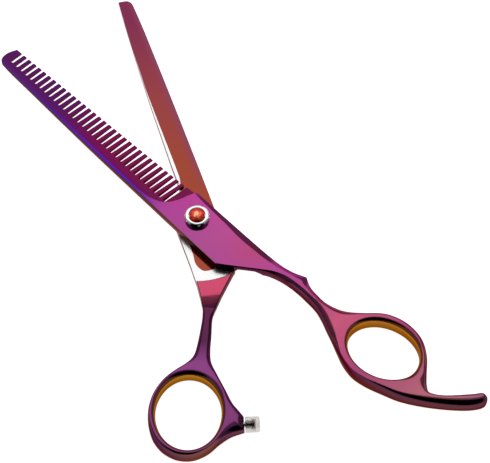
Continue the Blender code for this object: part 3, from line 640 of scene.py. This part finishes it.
plain_outline = [
    station(5.2, 91.8, -0.1, -0.2, EDGE),
    station(1.9, 92.4, 0.1, -0.2, EDGE, corner=True),
    *stretch(
        EDGE, (1.0, 78.0, 0.25, 0.0), (-0.2, 53.0, 0.25, 0.0), (-1.0, 25.0, 0.25, 0.0),
        (-1.6, 13.5, 0.25, 0.0), (-4.5, 9.0, 0.2, -0.2), (-6.7, 5.5, 0.25, 0.0),
        (-6.9, 0.0, 0.25, 0.0)),
    station(-6.9, -14.0, 0.25, 0.0, EDGE, inner=SHOULDER),
    station(-7.1, -21.15, 0.25, 0.0, EDGE, inner=SHOULDER, corner=True, mark="front left"),
    station(-7.7, -27.0, 0.3, 0.1, 0.15, 2.4, SHOULDER, corner=True, mark="facet left"),
    station(-8.3, -31.3, 0.4, 0.2, 0.4, 2.1, 0.6, corner=True, mark="slope left"),
    station(-9.6, -34.6, 1.1, -0.4, 1.0, outer=2.2, inner=1.4),
    station(-11.5, -38.4, 1.2, -0.6, 1.0, outer=2.0, inner=NECK),
    station(-14.1, -43.2, 1.5, -0.9, 1.0, outer=2.3, inner=2.2),
    station(-16.2, -46.3, 0.9, -2.7, 0.95, outer=2.7, inner=RING),
    *stretch(
        0.9, (-19.2, -48.4, -0.6, -1.4), (-24.2, -50.0, 0.4, -1.0), (-28.4, -52.0, 0.5, -0.9),
        (-32.2, -55.2, 0.7, -0.7), (-35.0, -59.2, 0.9, -0.4), (-36.7, -63.8, 1.0, -0.2),
        (-37.3, -68.4, 1.0, 0.0), (-36.9, -71.8, 1.0, 0.2), (-35.4, -75.3, 0.9, 0.6),
        (-32.6, -78.4, 0.6, 0.9), (-29.2, -80.1, 0.3, 1.0), (-25.8, -80.5, 0.0, 1.0),
        (-21.8, -79.7, -0.2, 1.0), (-17.8, -77.9, -0.4, 1.2),
        (-13.8, -76.8, -1.0, 2.2), inner=RING),
    station(-9.6, -76.7, -2.3, 3.5, 0.9, inner=RING, corner=True),
    station(-8.2, -71.7, -3.4, -0.7, 0.9, inner=RING, corner=True),
    *stretch(
        0.9, (-8.9, -69.6, -2.9, -0.6), (-10.0, -66.4, -2.0, 0.0), (-10.6, -61.4, -1.3, 0.0),
        (-11.3, -55.5, -1.4, 0.0), inner=RING),
    station(-11.7, -50.3, -2.6, -1.0, 0.95, inner=RING),
    station(-10.7, -46.3, -2.9, -2.0, 1.0, outer=2.7, inner=2.4),
    station(-8.9, -41.8, -1.5, 0.5, 1.0, outer=2.2, inner=NECK),
    station(-6.5, -35.6, -1.4, 0.6, 1.0, outer=2.2, inner=1.4),
    station(-4.9, -33.0, -0.4, 0.3, 0.4, 2.1, 0.6, corner=True, mark="slope right"),
    station(-0.8, -28.0, -0.4, 0.2, 0.2, 2.0, SHOULDER, corner=True, mark="facet right"),
    station(4.95, -21.75, -0.4, 0.2, 0.2, 2.0, SHOULDER, corner=True, mark="front right"),
    station(6.3, -19.9, -0.25, 0.1, EDGE, inner=SHOULDER),
    station(7.0, -16.0, -0.25, 0.0, EDGE, inner=SHOULDER),
    *stretch(
        EDGE, (7.05, 0.0, -0.25, 0.0), (7.1, 20.0, -0.25, 0.0), (6.9, 60.0, -0.25, 0.0),
        (6.3, 89.6, -0.2, 0.0)),
]
THUMB_HOLE = ((-24.1, -65.5), 25.6, 20.4, -20.0)   # centre, length, width and lean
thumb_hole = oval(*THUMB_HOLE, widen=1.7, inner=RING)
thumb_front = shank_front(22.3, -106.5, -79.0, steps=32, share=0.1, height=SHOULDER)


def hollow_cutter():
    """Shallow hollow of the inner face, from the hone line to beyond the back, round-ended behind
    the pivot. What it leaves standing is the bare ride and the hone line."""
    depth = 0.09
    line = [(2.1, 94.0), (1.0, 78.0), (0.6, 70.0), (0.3, 62.0), (0.0, 54.0), (0.0, 20.0),
            (-0.2, 17.5), (-1.8, 11.0), (-3.8, 5.0), (-4.6, 0.0), (-4.8, -8.0), (-4.9, -11.0),
            (-5.2, -14.2), (-4.3, -16.8), (-3.0, -17.9), (-0.4, -18.0), (1.2, -17.5), (4.0, -14.5),
            (6.0, -9.0)]
    bottom = HALF_HEIGHT - FACE_STEP - depth
    lower = [(point[0], point[1], bottom)
             for point in ground_path(line, [(12.0, -6.0), (12.0, 94.0)])]
    return block_cutter("hollow", lower, [(x - 0.1, y, HALF_HEIGHT + 0.5) for x, y, _ in lower])


BUMPER_PLACE = (Matrix.Translation((-8.9, -74.2, HALF_HEIGHT))
                @ Matrix.Rotation(math.radians(-16.0), 4, "Z")
                @ Matrix.Rotation(math.radians(90.0), 4, "Y"))


def pin_bore():
    """Blind round hole in the boss for the bumper's pin."""
    radius, depth, middle = 1.2, 4.3, -1.15
    bm = bmesh.new()
    bmesh.ops.create_cone(bm, cap_ends=True, segments=32, radius1=radius, radius2=radius,
                          depth=depth, matrix=BUMPER_PLACE @ Matrix.Translation((0, 0, middle)))
    return solid("pin bore", bm)


plain_half = solid("plain_half",
                   forged(plain_outline, thumb_hole, thumb_front, -1.0, ("facet", "slope")))
ground(plain_half, [
    taper_cutter("taper", -1), hollow_cutter(),
    bore_cutter("bore", [(4.3, -1.0, 1.2), (2.5, 1.2, 5.0)]), pin_bore(),
])
ride_level = HALF_HEIGHT - FACE_STEP
bare = [abs(face.center.z - ride_level) < ON_FACE and face.normal.z > 0.9
        for face in plain_half.data.polygons]
marked(plain_half, "in_hole", in_hole(*THUMB_HOLE))
placed(plain_half, THUMB_TURN)
coat_and_painted_shade_reach(plain_half)
# Copper coat: the eye sees copper at the base of the blade turning to plum at the tip, a pink
# facet behind the ride and purple handles. Its walls are partly the thin coat's colour and partly
# painted shade, darkest towards the top.
handle_tones = [(0.0, "#6D3561"), (0.22, "#4E2442"), (0.29, "#5A2444"), (0.315, "#B64462"),
                (0.34, "#B64462"), (0.36, "#8F412F")]
inner_tones = [(0.0, "#6D3561"), (1.0, "#702A47")]
wall_tones = [(0.0, "#744640"), (0.2, "#5E3444"), (0.32, "#5C3440"), (0.38, "#8A6A60"),
              (1.0, "#8A6A60")]
copper_coat = coated_steel(
    "titanium nitride on polished steel, copper", THUMB_TURN, (-82.0, 92.0),
    spine=sorted(handle_tones + [
        (0.18, "#7A3A72"), (0.6, "#8F412C"), (0.76, "#84393A"), (0.96, "#702A47")]),
    edge=sorted(handle_tones + [
        (0.18, "#6A2C60"), (0.6, "#8A3E30"), (0.76, "#84393C"), (0.96, "#702A47")]),
    ground_spine=inner_tones, ground_edge=inner_tones, left_wall=wall_tones,
    right_wall=wall_tones, painted_dark_top_wall="#3A1A40", rim=(4.2, 7.4, "#783C54"), hole="#966422")

# Honed steel: no coat, ground along the blade, so it reads as white with a faint grain. The grain
# is a tenth of a millimetre wide, coarser than the real one so that it shows.
honed_steel, tree, steel, place = surface("honed cobalt steel")
grain_way = add_node(tree, "ShaderNodeMapping", {
    "Vector": place, "Rotation": (0.0, 0.0, -math.radians(THUMB_TURN)),
    "Scale": (9.0 / MM, 0.3 / MM, 0.3 / MM)})
grain = add_node(tree, "ShaderNodeTexNoise", {
    "Vector": grain_way.outputs["Vector"], "Scale": 1.0, "Detail": 3.0})
tone = add_node(tree, "ShaderNodeValToRGB", {"Fac": grain.outputs["Fac"]},
                [(0.3, "#DADADC"), (0.7, "#F4F4F4")])
shine = add_node(tree, "ShaderNodeMapRange", {
    "Value": grain.outputs["Fac"], "To Min": 0.2, "To Max": 0.34})
plug(tree, steel, {
    "Base Color": tone.outputs["Color"], "Roughness": shine.outputs["Result"], "Metallic": 1.0})

plain_half.data.materials.clear()
plain_half.data.materials.append(copper_coat)
plain_half.data.materials.append(honed_steel)
for face, is_bare in zip(plain_half.data.polygons, bare):
    face.material_index = 1 if is_bare else 0
plain_half.modifiers.new("true flats", "WEIGHTED_NORMAL").keep_sharp = True
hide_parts("plain_blade")
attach(plain_half, "thumb_half")


# ---- Pivot bolt ----------------------------------------------------------------------------------
# Turned steel bolt that both halves swing on. Its broad flat head lies in the plain half's back,
# and fine turning rings show on it.

def turned_piece(name, profile, material, steps=96, centre=None):
    """A closed solid of revolution on the pivot axis, or on another axis given as a place."""
    bm = bmesh.new()
    turned(bm, profile, steps)
    piece = solid(name, bm)
    piece.data.transform(Matrix.Scale(MM, 4) @ (centre or Matrix.Identity(4)))
    piece.data.shade_smooth()
    piece.data.set_sharp_from_angle(angle=math.radians(CREASE))
    piece.data.materials.append(material)
    return piece


# Turned steel: the eye sees soft grey metal with close rings, drawn a third of a millimetre apart,
# coarser than the real ones so that they show.
turned_steel, tree, steel, place = surface("turned stainless steel")
rings = add_node(tree, "ShaderNodeTexWave", {
    "Vector": place, "Scale": 0.9 / MM, "Distortion": 0.4, "Detail": 2.0},
    wave_type="RINGS", rings_direction="Z")
tone = add_node(tree, "ShaderNodeValToRGB", {"Fac": rings.outputs["Fac"]},
                [(0.0, "#B4B4B8"), (1.0, "#CECED0")])
relief = add_node(tree, "ShaderNodeBump", {
    "Height": rings.outputs["Fac"], "Strength": 0.15, "Distance": 0.02 * MM})
plug(tree, steel, {
    "Base Color": tone.outputs["Color"], "Normal": relief.outputs["Normal"], "Metallic": 1.0,
    "Roughness": 0.28})

bolt = turned_piece("bolt", [
    (0.0, 0.0), (3.75, 0.0), (3.9, 0.05), (3.97, 0.15), (4.0, 0.3), (4.0, 0.9), (2.2, 0.9),
    (2.2, 6.6), (2.1, 6.7), (0.0, 6.7)], turned_steel)
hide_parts("pivot_bolt")
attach(bolt, "thumb_half")


# ---- Washers -------------------------------------------------------------------------------------
# A nylon washer lets the halves glide, and a dished steel one under the nut keeps the tension. Both
# are hidden in the pivot, as on the real shears.

# Natural nylon: the eye sees a milky, half-matt white with faint clouds a millimetre across.
nylon, tree, shell, place = surface("natural nylon, turned")
cloud = add_node(tree, "ShaderNodeTexNoise", {"Vector": place, "Scale": 0.8 / MM, "Detail": 3.0})
tone = add_node(tree, "ShaderNodeValToRGB", {"Fac": cloud.outputs["Fac"]},
                [(0.3, "#DAD8D0"), (0.7, "#EAE9E3")])
plug(tree, shell, {
    "Base Color": tone.outputs["Color"], "Roughness": 0.45})

glide = turned_piece("glide", [
    (2.5, 3.15), (3.55, 3.15), (3.6, 3.2), (3.6, 3.7), (3.55, 3.75), (2.5, 3.75), (2.5, 3.15)],
    nylon)
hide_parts("glide_washer")
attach(glide, "finger_half")

spring = turned_piece("spring", [
    (3.2, 5.1), (3.2, 5.45), (2.85, 5.64), (2.5, 5.8), (2.5, 5.45), (2.85, 5.27), (3.2, 5.1)],
    turned_steel)
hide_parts("spring_washer")
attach(spring, "adjuster")


# ---- Tension nut ---------------------------------------------------------------------------------
# Chromed steel nut, turned with a round-topped rim, with five thumb notches milled in its side.

# Chromium plate: the eye sees a near-perfect mirror, with faint handling smears a millimetre wide.
chrome, tree, plate, place = surface("bright chromium plate")
smear = add_node(tree, "ShaderNodeTexNoise", {"Vector": place, "Scale": 0.7 / MM, "Detail": 3.0})
shine = add_node(tree, "ShaderNodeMapRange", {
    "Value": smear.outputs["Fac"], "To Min": 0.04, "To Max": 0.12})
tone = add_node(tree, "ShaderNodeValToRGB", {"Fac": smear.outputs["Fac"]},
                [(0.3, "#E2E2E4"), (0.7, "#F2F2F2")])
plug(tree, plate, {
    "Base Color": tone.outputs["Color"], "Roughness": shine.outputs["Result"], "Metallic": 1.0})

NOTCHES = 5
NOTCH_SIZE, NOTCH_PLACE, NOTCH_START = (1.6, 0.8, 1.5), (4.5, 0.0, 7.95), 0.3
bm = bmesh.new()
turned(bm, [
    (0.0, 7.0), (2.5, 7.0), (2.5, 6.3), (3.8, 6.3), (3.93, 6.36), (4.0, 6.5), (4.0, 7.2),
    (3.93, 7.48), (3.74, 7.68), (3.5, 7.79), (3.2, 7.83), (2.95, 7.82), (2.8, 7.78), (2.72, 7.7),
    (2.7, 7.5), (2.7, 7.2), (0.0, 7.2)], 120)
nut = solid("nut", bm)
notches = []
for k in range(NOTCHES):
    bm = bmesh.new()
    made = bmesh.ops.create_cube(bm, size=1.0)["verts"]
    bmesh.ops.scale(bm, vec=NOTCH_SIZE, verts=made)
    bmesh.ops.translate(bm, vec=NOTCH_PLACE, verts=made)
    low = [e for e in bm.edges if all(v.co.z < 7.5 for v in e.verts)]
    bmesh.ops.bevel(bm, geom=low, offset=0.3, segments=4, profile=0.5, affect="EDGES",
                    material=-1)
    turn = math.radians(FINGER_TURN) + 2 * math.pi * (k + NOTCH_START) / NOTCHES
    bmesh.ops.rotate(bm, cent=(0, 0, 0), matrix=Matrix.Rotation(turn, 3, "Z"), verts=bm.verts)
    notches.append(solid("notch %d" % k, bm))
ground(nut, notches)
placed(nut, 0.0)
nut.data.materials.clear()
nut.data.materials.append(chrome)
nut.modifiers.new("true flats", "WEIGHTED_NORMAL").keep_sharp = True
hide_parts("adjuster_nut")
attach(nut, "adjuster")


# ---- Stone ---------------------------------------------------------------------------------------
# Red-orange crystal, cut as a round brilliant and foiled behind, cemented in the nut. The foil
# sends the light back up, so the table looks pale and each side facet deep red; that light is
# painted into the stone's colour.

def stone_rim(bm, sides, radius, height, offset=0.0):
    """Corners of a regular rim of the cut, turned by an offset given in sides."""
    return [bm.verts.new((radius * math.cos(2 * math.pi * (k + offset) / sides),
                          radius * math.sin(2 * math.pi * (k + offset) / sides), height))
            for k in range(sides)]


SIDES, STONE_RADIUS = 8, 2.58
CULET, GIRDLE, GIRDLE_TOP, CROWN, TABLE = 7.52, 7.98, 8.06, 8.34, 8.6   # heights
bm = bmesh.new()
girdle_low = stone_rim(bm, 2 * SIDES, STONE_RADIUS, GIRDLE)
girdle = lifted(bm, girdle_low, [(v.co.x, v.co.y, GIRDLE_TOP) for v in girdle_low])
crown = stone_rim(bm, SIDES, 0.80 * STONE_RADIUS, CROWN, 0.5)
table = stone_rim(bm, SIDES, 0.56 * STONE_RADIUS, TABLE)
culet = bm.verts.new((0.0, 0.0, CULET))
for k in range(SIDES):
    left, middle, right = girdle[2 * k], girdle[2 * k + 1], girdle[(2 * k + 2) % (2 * SIDES)]
    bmesh.ops.contextual_create(bm, geom=[left, middle, crown[k]])
    bmesh.ops.contextual_create(bm, geom=[middle, right, crown[k]])
    bmesh.ops.contextual_create(bm, geom=[left, crown[k], table[k]])
    bmesh.ops.contextual_create(bm, geom=[left, table[k], crown[k - 1]])
    bmesh.ops.contextual_create(bm, geom=[table[k], crown[k], table[(k + 1) % SIDES]])
bmesh.ops.contextual_create(bm, geom=table)
for k in range(2 * SIDES):
    bmesh.ops.contextual_create(
        bm, geom=[girdle_low[k], girdle_low[(k + 1) % (2 * SIDES)], culet])
stone = solid("stone", bm)
stone.data.transform(Matrix.Rotation(math.radians(FINGER_TURN), 4, "Z") @ Matrix.Scale(MM, 4))

# Foiled crystal: red, with painted light on it. Flat patches a millimetre wide are painted
# reflections, each one facet's view of the foil, and a painted glow runs pale orange in the middle
# to red towards the rim, under a clear polished surface.
crystal, tree, glass, place = surface("foiled red crystal")
painted_facet_glints = add_node(tree, "ShaderNodeTexVoronoi", {
    "Vector": place, "Scale": 1.1 / MM, "Randomness": 0.8})
tint = add_node(tree, "ShaderNodeSeparateColor", {"Color": painted_facet_glints.outputs["Color"]})
from_middle = add_node(tree, "ShaderNodeMapping", {
    "Vector": place, "Location": (0.0, 0.0, -3.2), "Scale": (0.385 / MM,) * 3})
painted_foil_glow = add_node(tree, "ShaderNodeTexGradient", {"Vector": from_middle.outputs["Vector"]},
                gradient_type="SPHERICAL")
# The painted glints and the painted glow, summed into one painted light value.
depth = add_node(tree, "ShaderNodeMath", {
    0: tint.outputs["Red"], 1: 0.55, 2: painted_foil_glow.outputs["Fac"]}, operation="MULTIPLY_ADD")
tone = add_node(tree, "ShaderNodeValToRGB", {"Fac": depth.outputs[0]},
                [(0.0, "#D8180C"), (0.35, "#FF3818"), (0.65, "#FF6C3C"), (0.9, "#FFC898")])
tone.color_ramp.interpolation = "CONSTANT"
plug(tree, glass, {
    "Base Color": tone.outputs["Color"], "Metallic": 0.5, "Roughness": 0.3, "Coat Weight": 0.4,
    "Coat Roughness": 0.02})
stone.data.materials.append(crystal)
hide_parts("jewel")
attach(stone, "adjuster")


# ---- Bumper --------------------------------------------------------------------------------------
# Steel pin pressed into the boss, with a clear silicone stop moulded over its head, which softens
# the closing of the rings.

stop_place = Matrix.Rotation(math.radians(THUMB_TURN), 4, "Z") @ BUMPER_PLACE
pin = turned_piece("stop_pin", [
    (0.0, -3.0), (0.8, -3.0), (0.9, -2.9), (0.9, 2.4), (1.2, 2.4), (1.3, 2.5), (1.3, 3.1),
    (1.2, 3.2), (0.0, 3.2)], turned_steel, steps=48, centre=stop_place)
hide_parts("bumper_pin")
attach(pin, "thumb_half")

# Clear silicone: the eye sees the pin through it, softened by a waxy bloom a millimetre across.
silicone, tree, rubber, place = surface("clear silicone rubber")
bloom = add_node(tree, "ShaderNodeTexNoise", {"Vector": place, "Scale": 0.9 / MM, "Detail": 3.0})
shine = add_node(tree, "ShaderNodeMapRange", {
    "Value": bloom.outputs["Fac"], "To Min": 0.06, "To Max": 0.2})
tone = add_node(tree, "ShaderNodeValToRGB", {"Fac": bloom.outputs["Fac"]},
                [(0.3, "#ACA8A4"), (0.7, "#CAC6C2")])
plug(tree, rubber, {
    "Base Color": tone.outputs["Color"], "Roughness": shine.outputs["Result"],
    "Transmission Weight": 1.0, "IOR": 1.41})

stop = turned_piece("stop", [
    (1.2, 0.3), (2.3, 0.3), (2.45, 0.36), (2.5, 0.5), (2.5, 4.2), (2.42, 4.5), (2.2, 4.72),
    (1.8, 4.88), (1.2, 4.96), (0.6, 4.99), (0.0, 5.0), (0.0, 3.5), (1.6, 3.5), (1.6, 2.1),
    (1.2, 2.1), (1.2, 0.3)],
    silicone, steps=64, centre=stop_place)
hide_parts("bumper")
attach(stop, "thumb_half")


# ---- Studio --------------------------------------------------------------------------------------
# Plain white table, one large softbox beyond the shears, pale walls and ceiling, and a black drape
# on the near side, which puts the dark lines into the polished edges.

TABLE_SIZE, TABLE_GAP = 4.0, 0.3 * MM   # the gap keeps the table clear of the bolt's head
bm = bmesh.new()
bmesh.ops.create_grid(bm, x_segments=1, y_segments=1, size=TABLE_SIZE)
bmesh.ops.translate(bm, vec=(0.0, 0.0, -TABLE_GAP), verts=bm.verts)
table_top = solid("table_top", bm)

# White laminate, lit from below: the eye sees a shadowless white sheet. Its faint mottle is a
# third of a metre across.
table_white, tree, laminate, place = surface("white laminate")
mottle = add_node(tree, "ShaderNodeTexNoise", {"Vector": place, "Scale": 3.0})
tone = add_node(tree, "ShaderNodeValToRGB", {"Fac": mottle.outputs["Fac"]},
                [(0.3, "#F4F4F4"), (0.7, "#F8F8F8")])
plug(tree, laminate, {
    "Base Color": tone.outputs["Color"], "Roughness": 0.6, "Specular IOR Level": 0.0,
    "Emission Color": (1.0, 1.0, 1.0, 1.0), "Emission Strength": 0.95})
table_top.data.materials.append(table_white)

azimuth, elevation, DISTANCE = math.radians(-30.65), math.radians(58.0), 0.9
AIM_RIGHT, AIM_AHEAD = 15.35 * MM, -3.2 * MM   # from the pivot to the middle of the view
right = Vector((math.cos(azimuth), math.sin(azimuth), 0.0))
ahead = Vector((-math.sin(azimuth), math.cos(azimuth), 0.0))
back = -ahead * math.cos(elevation) + Vector((0.0, 0.0, math.sin(elevation)))
aim = Vector((0.0, 0.0, HALF_HEIGHT * MM)) + AIM_RIGHT * right + AIM_AHEAD * ahead
camera_data = bpy.data.cameras.new("camera")
camera_data.sensor_width = 36.0
camera_data.lens = 206.3
camera_data.clip_start = 0.01
camera = in_scene("camera", camera_data)
camera.location = aim + DISTANCE * back
camera.rotation_mode = "QUATERNION"
camera.rotation_quaternion = (-back).to_track_quat("-Z", "Y")
bpy.context.scene.camera = camera


def softbox(name, heading, height, distance, width, depth, watts):
    """Area light aimed at the shears from a heading off the far side and a height, in degrees."""
    data = bpy.data.lights.new(name, "AREA")
    data.shape, data.size, data.size_y, data.energy = "RECTANGLE", width, depth, watts
    lamp = in_scene(name, data)
    way = Matrix.Rotation(math.radians(heading), 3, "Z") @ ahead
    way = way * math.cos(math.radians(height)) + Vector((0.0, 0.0, math.sin(math.radians(height))))
    lamp.location = way * distance
    lamp.rotation_mode = "QUATERNION"
    lamp.rotation_quaternion = way.to_track_quat("Z", "Y")
    lamp.visible_camera = False


softbox("far softbox", heading=0.0, height=48.0, distance=1.2, width=1.8, depth=0.95,
        watts=5.7)

# The walls are greyer at mid height, and the camera itself sees a plain white beyond the table.
world = bpy.data.worlds.new("studio walls")
bpy.context.scene.world = world
world.use_nodes = True
tree = world.node_tree
way = add_node(tree, "ShaderNodeTexCoord")
split = add_node(tree, "ShaderNodeSeparateXYZ", {"Vector": way.outputs["Generated"]})
walls = add_node(tree, "ShaderNodeValToRGB", {"Fac": split.outputs["Z"]},
                 [(0.0, "#A8A8A8"), (0.35, "#8C8C8C"), (0.7, "#888888"), (1.0, "#A8A8A8")])
DRAPE_HEIGHT = math.radians(45.0)
drape_way = -ahead * math.cos(DRAPE_HEIGHT) + Vector((0.0, 0.0, math.sin(DRAPE_HEIGHT)))
facing = add_node(tree, "ShaderNodeVectorMath", {0: way.outputs["Generated"], 1: drape_way},
                  operation="DOT_PRODUCT")
drape = add_node(tree, "ShaderNodeMapRange", {
    "Value": facing.outputs["Value"], "From Min": 0.66, "From Max": 0.78}, **SMOOTH)
lit = add_node(tree, "ShaderNodeMix", {
    "Factor": drape.outputs["Result"], A: walls.outputs["Color"], B: linear("#050505")}, **RGBA)
seen = add_node(tree, "ShaderNodeLightPath")
shown = add_node(tree, "ShaderNodeMix", {
    "Factor": seen.outputs["Is Camera Ray"], A: lit.outputs[MIXED], B: linear("#F4F4F4")}, **RGBA)
tree.links.new(shown.outputs[MIXED], tree.nodes["Background"].inputs["Color"])

bpy.context.scene.view_settings.view_transform = "Standard"
